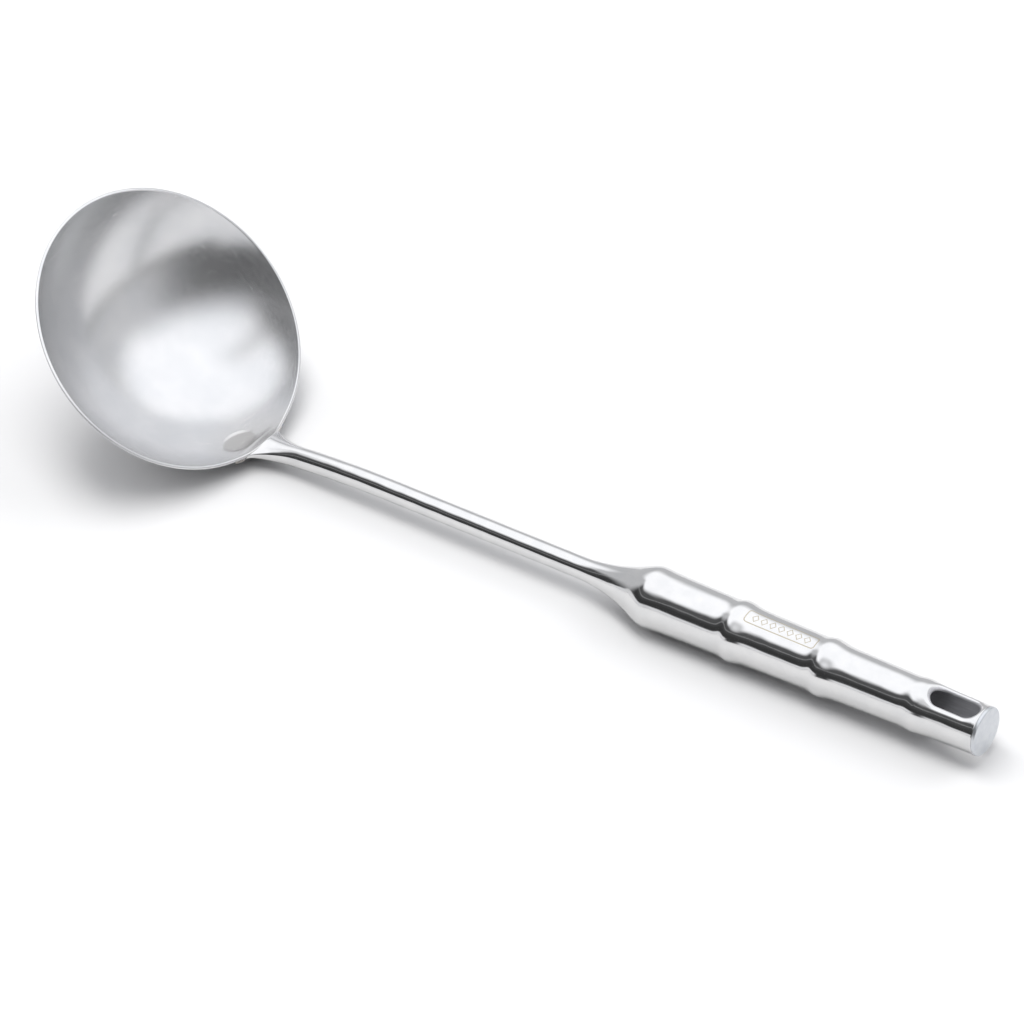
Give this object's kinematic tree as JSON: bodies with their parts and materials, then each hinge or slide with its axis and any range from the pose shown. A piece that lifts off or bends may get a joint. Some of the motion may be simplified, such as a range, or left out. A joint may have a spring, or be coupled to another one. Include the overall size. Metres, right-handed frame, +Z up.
{
  "type": "wok ladle",
  "caption": "Stainless steel wok ladle: round dished bowl, thin tubular shaft and a hollow tapered handle with soft ring nodes, a hanging slot and a flat end cap.",
  "frame": {"origin": "on the surface that the ladle lies on, under the middle of its bounding box", "axes": "+X from the bowl towards the handle's end cap, +Z up from the surface; the ladle is the same on both sides of the XZ plane"},
  "size_m": [0.4052, 0.115, 0.0885],
  "materials": {
    "bowl_satin_steel": "satin polished, finely brushed",
    "shaft_polished_steel": "bright polished",
    "grip_polished_steel": "bright polished",
    "cap_brushed_steel": "satin",
    "weld_metal": "as welded"
  },
  "bodies": {
    "root": {"bowl": "bowl_satin_steel", "shaft_tube": "shaft_polished_steel", "joint_weld_ring": "shaft_polished_steel", "grip_tube": "grip_polished_steel", "end_cap": "cap_brushed_steel", "neck_weld_left": "weld_metal", "neck_weld_right": "weld_metal"}
  },
  "joints": []
}
